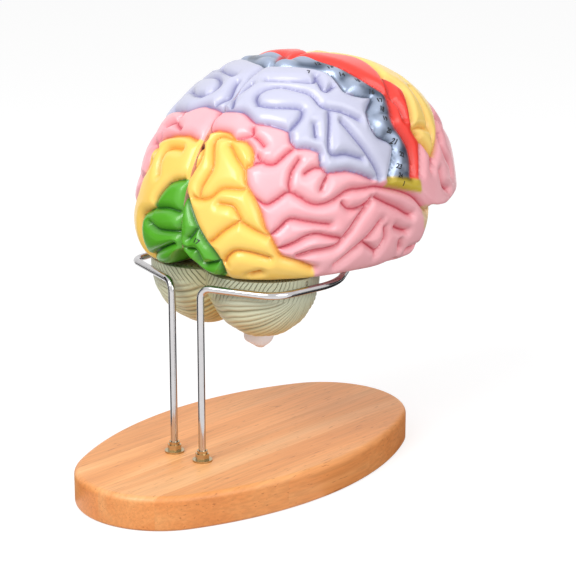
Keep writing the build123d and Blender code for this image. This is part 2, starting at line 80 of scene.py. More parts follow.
# Furrows as (forward, up) in hundredths of the side map
SULCI = {
    "central": [
        (-14, 99), (-2, 98), (0, 90), (2, 81), (4, 71), (7, 63), (11, 55), (10, 48), (8, 39), (10, 32),
        (12, 26), (12, 19), (11, 14),
    ],
    "postcentral": [
        (-24, 97), (-15, 88), (-10, 81), (-8, 75), (-9, 62), (-3, 57), (3, 54), (-3, 47), (-4, 40),
        (-2, 34), (3, 30), (4, 26), (0, 15),
    ],
    "precentral": [
        (14, 99), (24, 88), (23, 79), (19, 67), (23, 59), (24, 54), (20, 43), (18, 36), (20, 30), (18, 22),
        (16, 14),
    ],
    "motor_groove": [(18, 66), (13, 53), (14, 46), (14, 40)],
    "lateral": [(-7, 13), (1, 10), (10, 6), (14, 3)],
    "lateral_end": [(14, 3), (20, -3), (23, -12), (24, -24)],
    "lateral_branch": [(-7, 9), (-1, 5), (4, 2), (9, -1)],
    "parietal_hook": [
        (-51, 73), (-50, 77), (-47, 80), (-42, 81), (-36, 79), (-31, 73), (-26, 66), (-24, 57), (-16, 51),
        (-9, 44),
    ],
    "parietal_tongue": [(-51, 73), (-46, 68), (-35, 61), (-35, 57), (-38, 54), (-43, 51)],
    "parietal_top": [(-37, 87), (-29, 80), (-21, 74), (-16, 78)],
    "parietal_rear": [(-61, 77), (-55, 83), (-44, 88)],
    "parietal_notch": [(-31, 49), (-32, 43)],
    "parietal_middle": [(-22, 53), (-27, 34), (-19, 30), (-12, 26)],
    "parietal_front": [(-18, 46), (-14, 37), (-10, 29), (-6, 20), (-5, 16)],
    "parietal_fork": [(-17, 77), (-19, 66), (-13, 67)],
    "intraparietal": [
        (-70, 80), (-62, 75), (-59, 72), (-57, 63), (-51, 58), (-44, 51), (-44, 45), (-42, 41), (-37, 39),
        (-32, 35), (-32, 29), (-29, 25), (-20, 23), (-14, 20), (-8, 16),
    ],
    "angular_upper": [(-68, 57), (-61, 56), (-59, 60)],
    "angular_short": [(-60, 55), (-58, 51), (-57, 48)],
    "angular_loop": [(-67, 40), (-60, 40), (-57, 38), (-54, 37), (-51, 38), (-47, 40), (-44, 41)],
    "angular_stem": [(-61, 44), (-60, 40)],
    "marginal": [
        (-69, 33), (-68, 28), (-65, 23), (-60, 19), (-55, 20), (-49, 22), (-44, 19), (-39, 15), (-34, 13),
        (-28, 13), (-20, 15), (-14, 14), (-7, 13),
    ],
    "marginal_rise": [(-48, 22), (-48, 26), (-46, 31), (-42, 35)],
    "marginal_short": [(-40, 28), (-36, 29), (-32, 28)],
    "marginal_front": [(-33, 19), (-31, 22), (-29, 24)],
    "marginal_low": [(-23, 11), (-20, 8), (-15, 7), (-10, 8)],
    "temporal_upper": [
        (-9, 9), (-12, 6), (-16, 3), (-21, -2), (-26, -8), (-32, -9), (-38, -9), (-45, -11),
    ],
    "temporal_rear": [(-59, 4), (-54, 7), (-49, 10), (-42, 8), (-36, 6), (-29, 4)],
    "temporal_middle": [(-55, -4), (-49, -2), (-42, 1), (-34, 1), (-24, -4)],
    "temporal_lower": [(-26, -22), (-18, -14), (-10, -7), (-4, 0)],
    "temporal_short": [(-12, -10), (-6, -18)],
    "temporal_front": [(-6, -20), (-2, -11), (-2, -4)],
    "temporal_pole": [(2, -5), (5, -8), (8, -10)],
    "temporal_tip": [(7, -22), (6, -16)],
    "temporal_brow": [(12, -26), (17, -26)],
    "frontal_first": [(17, 34), (19, 30), (24, 24), (26, 21)],
    "frontal_edge": [(28, 21), (40, 36), (47, 46), (52, 60), (50, 75), (46, 90)],
    "frontal_rise": [(34, 57), (33, 47), (30, 37), (30, 29), (26, 18)],
    "frontal_short": [(18, 34), (23, 35), (28, 34)],
    "frontal_upper": [(50, 66), (60, 58), (70, 48), (82, 36)],
    "frontal_middle": [(44, 42), (55, 34), (72, 28), (88, 14)],
    "frontal_lower": [(39, 31), (37, 26), (39, 21), (43, 17), (44, 12)],
    "frontal_nick": [(25, 20), (24, 15)],
    "frontal_corner": [(31, 14), (33, 8), (39, 5)],
    "frontal_low": [(72, 4), (86, 0)],
    "frontal_cross": [(34, 84), (38, 72), (36, 64)],
    "frontal_link": [(62, 78), (66, 66), (76, 58)],
    "frontal_cheek": [(66, 27), (68, 12)],
    "orbital": [(40, -10), (58, -14), (76, -16)],
    "orbital_inner": [(24, -46), (44, -50), (66, -44), (82, -30)],
    "orbital_cross": [(58, -14), (54, -30), (56, -46)],
    "orbital_hook": [(74, -16), (72, -28), (68, -42)],
    "orbital_rear": [(40, -10), (36, -26), (38, -48)],
    "orbital_nick": [(31, -12), (33, -22), (31, -34)],
    "orbital_nick_front": [(46, -14), (49, -24), (47, -34)],
    "straight": [(20, -70), (45, -74), (68, -60)],
    "temporal_base": [(-50, -40), (-30, -46), (-8, -44), (6, -34)],
    "temporal_base_inner": [(-44, -60), (-24, -66), (-4, -62)],
}
RIGHT_REAR_SULCI = {
    "occipital_edge": [
        (-79, 61), (-76, 65), (-73, 65), (-70, 62), (-69, 57), (-65, 54), (-63, 49), (-63, 44), (-65, 40),
        (-68, 39), (-69, 31), (-66, 24), (-63, 16), (-61, 8), (-57, 1), (-53, -10), (-44, -16), (-37, -22),
    ],
    "occipital_arch": [
        (-69, 57), (-73, 61), (-77, 59), (-80, 53), (-83, 44), (-87, 38), (-90, 33), (-92, 27),
    ],
    "occipital_cross": [(-94, 27), (-91, 26), (-87, 27), (-81, 31), (-72, 29), (-70, 29)],
    "occipital_drop": [(-72, 54), (-71, 46), (-69, 39), (-69, 32)],
    "occipital_inner": [(-82, 57), (-85, 51), (-89, 45), (-91, 42)],
    "occipital_stem": [(-83, 23), (-77, 21), (-74, 15), (-74, 13), (-82, 8), (-89, 1)],
    "occipital_limb": [(-74, 13), (-67, 8), (-60, 4)],
    "occipital_low": [(-81, -17), (-80, -11), (-76, -5), (-69, -6), (-59, -11)],
    "occipital_nick": [(-67, -27), (-63, -24)],
    "calcarine_edge": [(-96, 28), (-96, 19), (-94, 8), (-88, -5), (-83, -18), (-78, -39)],
    "calcarine_notch": [(-98, 1), (-95, 8)],
    "calcarine_low": [(-98, -12), (-95, -10), (-91, -24), (-87, -21), (-83, -16)],
}
LEFT_REAR_SULCI = {
    "occipital_edge": [
        (-79, 59), (-75, 58), (-70, 53), (-64, 45), (-63, 37), (-66, 29), (-66, 16), (-57, 1), (-53, -10),
        (-37, -22),
    ],
    "occipital_arch": [(-80, 51), (-76, 48), (-74, 44), (-76, 37), (-80, 32)],
    "calcarine_edge": [(-92, 37), (-89, 32), (-87, 21), (-87, 14), (-78, 6), (-76, -8), (-75, -31)],
    "calcarine_upper": [(-88, 14), (-94, 17), (-98, 17)],
    "calcarine_cross": [(-86, 4), (-92, 2), (-100, 4)],
    "calcarine_low": [(-75, -31), (-90, -18), (-98, -9)],
}

central, precentral, postcentral = (SULCI[name] for name in ("central", "precentral", "postcentral"))

# Painted regions as outlines on the same map, most of them along furrows; the rest is pink
PARIETAL_PAINT = [
    *SULCI["intraparietal"], (-5, 14), *postcentral[::-1], (-28, 106), (-60, 100), (-74, 86),
]
SENSORY_PAINT = [(-28, 106), *postcentral, (10, 12), *central[-2::-1], (-16, 108)]
MOTOR_PAINT = [
    (-16, 108), *central[:-1], (10, 12), (13, 12), (17, 22), *precentral[-3::-1], (15, 108),
]
PREMOTOR_PAINT = [
    (15, 108), *precentral[:8], *SULCI["frontal_first"][1:], *SULCI["frontal_edge"], (48, 104),
]
OPERCULUM_PAINT = [(-1.5, 14.8), (4, 14), (14, 11.3), (14, 7.2), (6, 9), (-1.5, 11.7)]
POLE_PAINT = [
    (15, -1), (18, 1), (22, -1), (27, -6), (29, -11), (28, -15), (24, -16), (20, -15), (17.5, -11),
    (16, -4),
]


def rear_paints(furrows, cleft_end, top_end):
    """Outlines of the visual region and of the striate region inside it."""
    edge, cleft = furrows["occipital_edge"], furrows["calcarine_edge"]
    visual = [*edge, (-34, -60), (-70, -80), *cleft[::-1], cleft_end, top_end]
    striate = [cleft_end, *cleft, (-70, -80), (-110, -30)]
    return visual, striate


right_visual, right_striate = rear_paints(RIGHT_REAR_SULCI, (-106, 30), (-90, 64))
left_visual, left_striate = rear_paints(LEFT_REAR_SULCI, (-104, 38), (-88, 64))

# Each region's colour on the folds and in the furrows, the furrow colour partly painted shade, and its
# outline right and left
CORTEX_REGIONS = [
    ("parietal", "C3C4DA", "8382B0", PARIETAL_PAINT, PARIETAL_PAINT),
    ("sensory", "A9B6CE", "48566C", SENSORY_PAINT, SENSORY_PAINT),
    ("motor", "F43B2E", "B41F18", MOTOR_PAINT, MOTOR_PAINT),
    ("premotor", "FDD878", "EBA748", PREMOTOR_PAINT, PREMOTOR_PAINT),
    ("operculum", "CBB23A", "8E7822", OPERCULUM_PAINT, OPERCULUM_PAINT),
    ("visual", "FCD066", "E99C3C", right_visual, left_visual),
    ("striate", "52A81E", "1F5E12", right_striate, left_striate),
    ("pole", "E2C49C", "BE9062", POLE_PAINT, POLE_PAINT),
]
PAINT_BLEND = 0.45

# Swellings of the silver strip as (forward, up, radius in hundredths)
STRIP_SWELLINGS = [
    (-16.8, 97.2, 4.5), (-6.7, 94.2, 4.5), (-6.0, 76.8, 4.0), (-2.0, 63.3, 4.5), (2.5, 48.3, 4.2),
    (1.5, 39.5, 4.2), (5.0, 30.0, 3.6), (4.5, 20.0, 3.8),
]
STRIP_SINK, SWELLING_HEIGHT, STRIP_BLEND = 1.6, 2.6, 2.5
# Painted shade of the silver strip: darkest between its swellings, lighter on their tops
STRIP_SHADE, SWELLING_LIGHT = 0.9, 1.1


# Shape of the halves

def side_form(forward, up):
    """Smooth side form and its normals for arrays of map places.

    The map's radius is an angle: 0 at the side's fullest point, a quarter turn at the
    midline rim. Powers of its sine and cosine give the outline's and the side's fullness.
    """
    radius = np.minimum(np.hypot(forward, up), 1.0)
    safe = np.maximum(np.hypot(forward, up), 1e-9)
    angle = radius * math.pi / 2
    along = np.sin(angle) ** OUTLINE_SQUARENESS
    out = np.maximum(np.cos(angle), 0.0) ** SIDE_FULLNESS
    length = np.where(forward > 0, FRONT_REACH, REAR_REACH)
    height = np.where(up > 0, TOP_REACH, UNDER_REACH)
    x = length * along * forward / safe
    z = height * along * up / safe
    width = SIDE_WIDTH * (1 - FRONT_TAPER * x / 100)
    spread = (x / length) ** 2 + (z / height) ** 2
    lean = spread ** (1 / OUTLINE_SQUARENESS - 1) / OUTLINE_SQUARENESS
    normal = np.stack([
        2 * lean * x / length ** 2,
        2 / SIDE_FULLNESS * out ** (2 / SIDE_FULLNESS - 1) / width,
        2 * lean * z / height ** 2,
    ], axis=-1)
    normal /= np.maximum(np.linalg.norm(normal, axis=-1, keepdims=True), 1e-12)
    return np.stack([x, width * out, z], axis=-1), normal


def eased_step(value, middle, ease):
    """0 to 1 along the logistic curve of a value, half way at the middle."""
    return 1 / (1 + np.exp((middle - value) / ease))


def pillow_rise(distance, half_width):
    """Quarter circle of a distance: steep at 0, level and 1 from the half width on."""
    return np.sqrt(1 - (1 - np.clip(distance / half_width, 0, 1)) ** 2)


def full_turn(count):
    """Angles once round, evenly spaced."""
    return np.linspace(0, 2 * math.pi, count, endpoint=False)


def rounded_line(places, steps=5):
    """Catmull-Rom curve through rows of numbers: each span bends towards its neighbours."""
    p = np.array(places, float)
    p = np.vstack([2 * p[0] - p[1], p, 2 * p[-1] - p[-2]])
    t = np.linspace(0, 1, steps, endpoint=False)[:, None]
    spans = [
        0.5 * (2 * b + (c - a) * t + (2 * a - 5 * b + 4 * c - d) * t ** 2 + (3 * b - a - 3 * c + d) * t ** 3)
        for a, b, c, d in zip(p, p[1:], p[2:], p[3:])
    ]
    return np.vstack([*spans, p[-2:-1]])


def furrow_lines(groups):
    """Every furrow as a chain of points laid on the smooth form."""
    chains = []
    for furrows in groups:
        for places in furrows.values():
            curve = np.clip(rounded_line(places) / 100, -1, 1)
            chains.append(side_form(curve[:, 0], curve[:, 1])[0])
    return chains


def nearest_on_chains(points, chains, reach=14):
    """Shortest distance within reach from each point to the chains, and its foot on them."""
    nearest = np.full(len(points), 1e9)
    foot = points.copy()
    for chain in chains:
        low, high = chain.min(axis=0) - reach, chain.max(axis=0) + reach
        close = np.flatnonzero(np.all((points > low) & (points < high), axis=1))
        here = points[close]
        for start, run in zip(chain[:-1], np.diff(chain, axis=0)):
            part = np.clip((here - start) @ run / max(run @ run, 1e-9), 0, 1)
            target = start + part[:, None] * run
            gap = np.linalg.norm(here - target, axis=1)
            better = gap < nearest[close]
            nearest[close[better]] = gap[better]
            foot[close[better]] = target[better]
    return nearest, foot


def inside_amount(forward, up, outline, blend, at_edge=0.5):
    """1 inside a closed outline on the map, 0 outside, easing over the blend width."""
    p = np.stack([forward.ravel(), up.ravel()], axis=-1) * 100
    ring = np.array(outline, float)
    inside = np.zeros(len(p), bool)
    nearest = np.full(len(p), 1e9)
    for start, end in zip(ring, np.roll(ring, -1, axis=0)):
        run = end - start
        crosses = (start[1] > p[:, 1]) != (end[1] > p[:, 1])
        slope = run[0] / run[1] if run[1] else 0.0
        inside ^= crosses & (p[:, 0] < start[0] + slope * (p[:, 1] - start[1]))
        part = np.clip((p - start) @ run / max(run @ run, 1e-9), 0, 1)
        nearest = np.minimum(nearest, np.linalg.norm(p - start - part[:, None] * run, axis=1))
    signed = np.where(inside, nearest, -nearest)
    return np.clip(at_edge + 0.5 * signed / blend, 0, 1)


def tip_share(x):
    """Share of the frontal tip: 0 behind its start, 1 at its end, the square between."""
    return np.clip((x - TIP_X) / TIP_LENGTH, 0, 1) ** 2


def underside(x, y):
    """Lowest height of a half: level, lower at the temporal lobe, high in front, and drawn up
    beside the midline at the rear."""
    temporal = TEMPORAL_DROP * eased_step(x, TEMPORAL_X, TEMPORAL_EASE)
    frontal = FRONTAL_RISE * eased_step(x, FRONTAL_X, FRONTAL_EASE)
    belly = BELLY_DROP * np.exp(-((x - BELLY_X) / BELLY_LENGTH) ** 2)
    tip = TIP_RISE * tip_share(x)
    cleft = CLEFT_RISE * eased_step(CLEFT_X, x, CLEFT_EASE) * np.exp(-(y / CLEFT_HALF_WIDTH) ** 2)
    return UNDERSIDE_REAR - temporal + frontal - belly + tip + cleft


def swell(x, z):
    """Slow unevenness of the moulding, three crossed waves."""
    first = np.sin(x / 17.0 + 1.3 * np.sin(z / 23.0))
    return first + np.sin(z / 13.0 + x / 31.0) + 0.5 * np.sin((x + z) / 9.0)


def strip_share(forward, up):
    """1 on the silver strip, easing to 0 across its edge."""
    return inside_amount(forward, up, SENSORY_PAINT, STRIP_BLEND)


def strip_swelling(forward, up):
    """Height share of the silver strip's swellings, round hills about their centres."""
    hills = [
        np.exp(-((forward * 100 - x) ** 2 + (up * 100 - z) ** 2) / radius ** 2)
        for x, z, radius in STRIP_SWELLINGS
    ]
    return np.max(hills, axis=0)


def laid_on_furrows(point, near, foot, shape, radius):
    """Net points within about half a cell of a furrow's line are moved onto it."""
    net = point.reshape(*shape, 3)
    ways = [np.gradient(net, axis=way) for way in (0, 1)]
    ways += [ways[0] + ways[1], ways[0] - ways[1]]
    cell = np.min([np.linalg.norm(way, axis=-1) for way in ways], axis=0).ravel()
    laid = (near < SNAP_SHARE * cell) & (radius < SNAP_REACH)
    return np.where(laid[:, None], foot, point), np.where(laid, 0, near)


def cortex(forward, up, side, chains, snap=False):
    """Folded surface of one half, in millimetres, and how deep each place lies in a furrow.

    A furrow pushes the surface in along the form's normal. Its section is a pillow: the
    quarter circle of the distance, steep at the furrow's line and level on the fold. The
    underside is a soft maximum of the form and its lowest height.
    """
    shape = forward.shape
    forward, up = forward.ravel(), up.ravel()
    radius = np.hypot(forward, up)
    point, normal = side_form(forward, up)
    near, foot = nearest_on_chains(point, chains)
    if snap:
        point, near = laid_on_furrows(point, near, foot, shape, radius)
    rounded = np.sqrt(near ** 2 + VALLEY_FLOOR ** 2 + VALLEY_RADIUS ** 2) - VALLEY_RADIUS
    pillow = pillow_rise(rounded, FOLD_HALF_WIDTH)
    rim_pillow = pillow_rise(point[:, 1], RIM_HALF_WIDTH)
    push = FOLD_DEPTH * (1 - pillow) + RIM_DEPTH * (1 - rim_pillow)
    push = push + UNEVENNESS * (1 - swell(point[:, 0], point[:, 2])) * pillow * rim_pillow
    crown = ((forward - CROWN_FORWARD) / CROWN_LENGTH) ** 2 + ((up - CROWN_UP) / CROWN_HEIGHT) ** 2
    push = push - CROWN_SWELLING * np.exp(-crown) * rim_pillow
    strip = strip_share(forward, up) * pillow
    push = push + strip * (STRIP_SINK - SWELLING_HEIGHT * strip_swelling(forward, up))
    x, y, z = (point - push[:, None] * normal).T
    z = z - SAG * (x / 100) ** 2 + FORM_Z
    x = x + FORM_X
    floor = underside(x, y)
    bend = UNDERSIDE_ROUND + TIP_ROUND * tip_share(x)
    under = eased_step(floor, z, bend)
    z = floor + bend * np.logaddexp(0, (z - floor) / bend)
    z = z + UNDERSIDE_FOLD * under * (1 - pillow) * rim_pillow
    y = np.where(radius > RIM_START, 0.0, np.maximum(y, 0.0)) + MIDLINE_GAP
    places = np.stack([x, side * y, z], axis=-1).reshape(*shape, 3)
    return places, (1 - pillow).reshape(shape)


def map_square(steps, ease=0.25):
    """Net over the map's disk from a square, finer towards the rim."""
    t = np.linspace(-1, 1, steps)
    t = t * (1 + ease - ease * t * t)
    a, b = np.meshgrid(t, t, indexing="ij")
    return a * np.sqrt(1 - b * b / 2), b * np.sqrt(1 - a * a / 2)


# Meshes

def quads_of(rows, columns, closed=False):
    """Corners of the four-sided faces of a net of rows by columns, its columns closed or not."""
    index = np.arange(rows * columns).reshape(rows, columns)
    if closed:
        index = np.hstack([index, index[:, :1]])
    corners = [index[:-1, :-1], index[1:, :-1], index[1:, 1:], index[:-1, 1:]]
    return np.stack(corners, axis=-1).reshape(-1, 4)


def fan(ring, centre):
    """Triangles from each edge of a ring of corners to a centre."""
    return list(np.stack([ring, np.roll(ring, -1), np.full(len(ring), centre)], axis=-1))


def split_quads(faces, depth, points):
    """Two triangles for each four-sided face, cut through its two deeper opposite corners, so
    that a furrow's line follows edges, or the other way where that would leave a sliver."""
    a, b, c, d = faces.T
    pa, pb, pc, pd = (points[corner] for corner in (a, b, c, d))
    facing = np.cross(pc - pa, pd - pb)
    facing /= np.maximum(np.linalg.norm(facing, axis=1, keepdims=True), 1e-12)

    def least(*triangles):
        return np.min([np.sum(np.cross(q - p, r - p) * facing, axis=1) for p, q, r in triangles], axis=0)

    through_ac, through_bd = least((pa, pb, pc), (pa, pc, pd)), least((pa, pb, pd), (pb, pc, pd))
    deeper = depth[a] + depth[c] > depth[b] + depth[d]
    through_first = np.where(
        deeper, through_ac > LEAST_SHARE * through_bd, through_bd < LEAST_SHARE * through_ac,
    )
    first = through_first[:, None]
    one = np.where(first, np.stack([a, b, c], axis=-1), np.stack([a, b, d], axis=-1))
    two = np.where(first, np.stack([a, c, d], axis=-1), np.stack([b, c, d], axis=-1))
    return np.concatenate([one, two])


def link(name, data):
    """New object of the scene for a mesh, lamp, camera or text."""
    thing = bpy.data.objects.new(name, data)
    bpy.context.scene.collection.objects.link(thing)
    return thing


def make_piece(name, points, faces, finish, body, caps=()):
    """Mesh object from millimetre points and rows of corners, with end caps as rings."""
    mesh = bpy.data.meshes.new(name)
    sizes = np.array([faces.shape[1]] * len(faces) + [len(ring) for ring in caps], np.int32)
    corners = np.concatenate([faces.ravel(), *caps]).astype(np.int32)
    starts = np.cumsum(sizes) - sizes
    mesh.vertices.add(len(points))
    mesh.vertices.foreach_set("co", (np.asarray(points, float) * MM).ravel())
    mesh.loops.add(len(corners))
    mesh.loops.foreach_set("vertex_index", corners)
    mesh.polygons.add(len(starts))
    mesh.polygons.foreach_set("loop_start", starts.astype(np.int32))
    mesh.update(calc_edges=True)
    mesh.validate()
    mesh.polygons.foreach_set("use_smooth", np.ones(len(mesh.polygons), bool))
    mesh.materials.append(finish)
    piece = link(name, mesh)
    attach(piece, body)
    return piece


def rounded_edges(low, high, low_round, high_round):
    """Places from low to high, and how far a quarter round at each end draws the side in."""
    turn = np.linspace(0, math.pi / 2, 9)
    back = turn[::-1]
    place = [low + low_round * (1 - np.cos(turn)), high - high_round * (1 - np.cos(back))]
    inset = [low_round * (1 - np.sin(turn)), high_round * (1 - np.sin(back))]
    return np.concatenate(place)[:, None], np.concatenate(inset)[:, None]


def stacked_rings(name, x, y, z, finish, turned=False):
    """Piece on the stand from rows of closed rings, the first and the last ring capped."""
    points = np.stack(np.broadcast_arrays(x, y, z), axis=-1)
    rows, columns = points.shape[:2]
    faces = quads_of(rows, columns, closed=True)
    first = np.arange(columns)
    caps = [first, (rows - 1) * columns + first[::-1]]
    if turned:
        faces, caps = faces[:, ::-1], [cap[::-1] for cap in caps]
    return make_piece(name, points.reshape(-1, 3), faces, finish, "stand", caps)


def paint_attribute(piece, name, values):
    """Store one number per vertex for the material to read."""
    layer = piece.data.attributes.new(name, "FLOAT", "POINT")
    layer.data.foreach_set("value", np.asarray(values, np.float32).ravel())


# Materials

def linear(hex_colour):
    """Linear light colour from a screen colour written as six hexadecimal digits."""
    screen = [int(hex_colour[i:i + 2], 16) / 255 for i in (0, 2, 4)]
    return (*[c / 12.92 if c <= 0.04045 else ((c + 0.055) / 1.055) ** 2.4 for c in screen], 1.0)


def grey(value):
    """Linear grey."""
    return (value, value, value, 1.0)


class Nodes:
    """A node tree under construction. A source is a (node, output) pair."""

    def __init__(self, tree):
        self.tree = tree
        tree.nodes.clear()

    def feed(self, socket, value):
        """Join a source to an input, or set the input's own number or colour."""
        if isinstance(value, tuple) and isinstance(value[0], bpy.types.Node):
            self.tree.links.new(value[0].outputs[value[1]], socket)
        else:
            socket.default_value = value

    def add(self, kind, inputs=None, **settings):
        """New node with its settings, and its inputs fed by name or number."""
        node = self.tree.nodes.new(kind)
        for setting, value in settings.items():
            setattr(node, setting, value)
        for socket, value in (inputs or {}).items():
            self.feed(node.inputs[socket], value)
        return node

    def maths(self, operation, *values):
        """One sum, product or function of sources and numbers."""
        return self.add("ShaderNodeMath", dict(enumerate(values)), operation=operation), 0

    def span(self, source, low, high, new_low=0.0, new_high=1.0):
        """A value carried from one range to another."""
        inputs = {0: source, 1: low, 2: high, 3: new_low, 4: new_high}
        return self.add("ShaderNodeMapRange", inputs), 0


class Finish(Nodes):
    """A material under construction, its constants set on the shader's own inputs."""

    def __init__(self, name, **constants):
        self.material = bpy.data.materials.new(name)
        self.material.use_nodes = True
        super().__init__(self.material.node_tree)
        inputs = {socket.replace("_", " "): value for socket, value in constants.items()}
        self.shader = self.add("ShaderNodeBsdfPrincipled", inputs)
        self.add("ShaderNodeOutputMaterial", {"Surface": (self.shader, "BSDF")})

    def place(self):
        """Object coordinates."""
        return self.add("ShaderNodeTexCoord"), "Object"

    def stretched(self, where, scale):
        """A place with its axes multiplied by a scale."""
        return self.add("ShaderNodeMapping", {"Vector": where, "Scale": scale}), "Vector"

    def attribute(self, name):
        """A number stored on the piece's vertices."""
        return self.add("ShaderNodeAttribute", attribute_name=name), "Fac"

    def noise(self, where, scale, detail=4.0, roughness=0.5, distortion=0.0):
        """Cloudy noise over a place."""
        inputs = dict(Vector=where, Scale=scale, Detail=detail, Roughness=roughness, Distortion=distortion)
        return self.add("ShaderNodeTexNoise", inputs), 0

    def ramp(self, source, *stops):
        """Colours over a value; each stop is a position and a colour."""
        node = self.add("ShaderNodeValToRGB", {"Fac": source})
        while len(node.color_ramp.elements) < len(stops):
            node.color_ramp.elements.new(0.5)
        for element, (position, colour) in zip(node.color_ramp.elements, stops):
            element.position = position
            element.color = colour
        return node, 0

    def mottled(self, noise, colour, darker, at=0.75):
        """A colour that grows darker where the noise is high."""
        pale = linear(colour)
        return self.ramp(noise, (0.3, pale), (at, tuple(channel * darker for channel in pale)))

    def mix(self, amount, first, second, blend="MIX"):
        """Mix of two colours."""
        inputs = {0: amount, 6: first, 7: second}
        return self.add("ShaderNodeMix", inputs, data_type="RGBA", blend_type=blend), 2

    def colour(self, source):
        """The shader's base colour."""
        self.feed(self.shader.inputs["Base Color"], source)

    def bump(self, height, distance, strength):
        """Fine relief of the shaded surface."""
        node = self.add("ShaderNodeBump", dict(Height=height, Distance=distance, Strength=strength))
        self.feed(self.shader.inputs["Normal"], (node, "Normal"))


def painted_cortex(name):
    """Painted vinyl: region colours by attribute, deeper and redder in the furrows, partly the paint's own
    furrow tint and partly painted shade.
    """
    f = Finish(name, Roughness=0.34, Coat_Weight=0.25, Coat_Roughness=0.18)
    skin = f.ramp(f.noise(f.place(), 22.0, 3.0), (0.3, linear("F6ABB3")), (0.7, linear("F9B8BF")))
    furrow_paint_and_shade = linear("CB4256")
    for region, crest, deep, *_ in CORTEX_REGIONS:
        weight = f.attribute(region)
        skin = f.mix(weight, skin, linear(crest))
        furrow_paint_and_shade = f.mix(weight, furrow_paint_and_shade, linear(deep))
    # Furrow colour: a strong tint at the bottom and a broad weak tint up the walls, partly paint and partly
    # painted shade
    depth = f.ramp(f.attribute("furrow"), (0.18, grey(0)), (0.58, grey(0.32)), (0.88, grey(1)))
    f.colour(f.mix(depth, skin, furrow_paint_and_shade))
    f.feed(f.shader.inputs["Metallic"], f.maths("MULTIPLY", f.attribute("sensory"), 0.7))
    f.bump(f.noise(f.place(), 900.0, 2.0), 0.00005, 0.4)
    return f.material


def board_wood():
    """Lacquered strips of light hardwood glued edge to edge, grain along the board."""
    f = Finish("board_wood", Roughness=0.5, Coat_Weight=0.18, Coat_Roughness=0.28)
    strip_width = 0.046
    where = f.place()
    split = f.add("ShaderNodeSeparateXYZ", {"Vector": where})
    number = f.maths("FLOOR", f.maths("MULTIPLY", (split, "Y"), 1 / strip_width))
    tone = f.add("ShaderNodeTexWhiteNoise", {"W": number}, noise_dimensions="1D"), "Value"
    shift = f.add("ShaderNodeCombineXYZ", {"X": tone, "Y": number})
    moved = f.add("ShaderNodeVectorMath", {0: where, 1: (shift, "Vector")}, operation="ADD"), "Vector"
    figure = f.noise(f.stretched(moved, (1.8, 17.0, 17.0)), 1.0, 6.0, 0.55, 0.6)
    pores = f.noise(f.stretched(moved, (14.0, 420.0, 420.0)), 1.0, 3.0, 0.6)
    specks = f.noise(f.stretched(moved, (90.0, 700.0, 700.0)), 1.0, 1.0)
    base = f.ramp(figure, (0.30, linear("E3944F")), (0.50, linear("F6AE6B")), (0.70, linear("FFC98E")))
    streak = f.ramp(pores, (0.38, (0.76, 0.72, 0.68, 1)), (0.60, grey(1.04)))
    shade = f.ramp(tone, (0.0, (0.85, 0.80, 0.75, 1)), (1.0, (1.06, 1.05, 1.03, 1)))
    fleck = f.ramp(specks, (0.24, (0.60, 0.46, 0.36, 1)), (0.32, grey(1)))
    toned = base
    for amount, layer in ((0.45, streak), (0.85, shade), (0.8, fleck)):
        toned = f.mix(amount, toned, layer, "MULTIPLY")
    edge_tone = f.mix(1.0, toned, (0.94, 0.78, 0.62, 1), "MULTIPLY")
    f.colour(f.mix(f.attribute("edge"), toned, edge_tone))
    f.bump(pores, 0.0002, 0.25)
    return f.material


def bright_metal(name, colour, roughness):
    """Plated metal with fine wear that varies its gloss."""
    f = Finish(name, Metallic=1.0)
    wear = f.noise(f.place(), 160.0)
    f.colour(f.mottled(wear, colour, 0.93, 0.7))
    f.feed(f.shader.inputs["Roughness"], f.span(wear, 0, 1, roughness * 0.7, roughness * 1.5))
    return f.material


def painted_vinyl(name, crest, deep):
    """Painted moulding whose furrow attribute mixes in the deeper colour: darker in the grooves, and painted
    shade in the pocket and peg holes.
    """
    f = Finish(name, Roughness=0.42, Coat_Weight=0.12, Coat_Roughness=0.3)
    body = f.mottled(f.noise(f.place(), 30.0), crest, 0.93)
    f.colour(f.mix(f.attribute("furrow"), body, linear(deep)))
    f.bump(f.noise(f.place(), 700.0, 2.0), 0.00006, 0.4)
    return f.material


def plain_vinyl(name, colour):
    """Unpainted moulding with a faint mottle."""
    f = Finish(name, Roughness=0.45)
    f.colour(f.mottled(f.noise(f.place(), 60.0), colour, 0.94))
    return f.material


